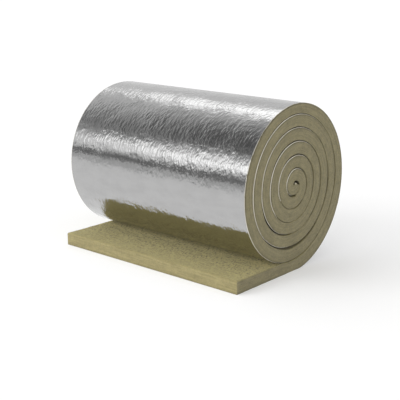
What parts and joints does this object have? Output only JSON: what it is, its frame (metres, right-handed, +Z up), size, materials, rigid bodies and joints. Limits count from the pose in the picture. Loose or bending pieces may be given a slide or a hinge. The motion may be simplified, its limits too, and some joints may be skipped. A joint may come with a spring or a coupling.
{
  "type": "foil-faced mineral wool insulation roll",
  "caption": "Wide mineral wool mat with a foil facing, wound foil outward into a roll that lies on its side, its outer end unrolled as a flat flap.",
  "frame": {"origin": "on the floor, at the middle of the part's width and of its length from the flap's cut end to the far side of the roll", "axes": "+X along the roll, across the mat's width; +Y away from the flap; +Z up"},
  "size_m": [1, 0.7308, 0.7122],
  "materials": {
    "wool": "matte olive mineral wool with fibrous cut faces",
    "foil": "bright foil, finely crinkled"
  },
  "bodies": {
    "root": {"wool_mat": "wool", "foil_facing": "foil"}
  },
  "joints": []
}
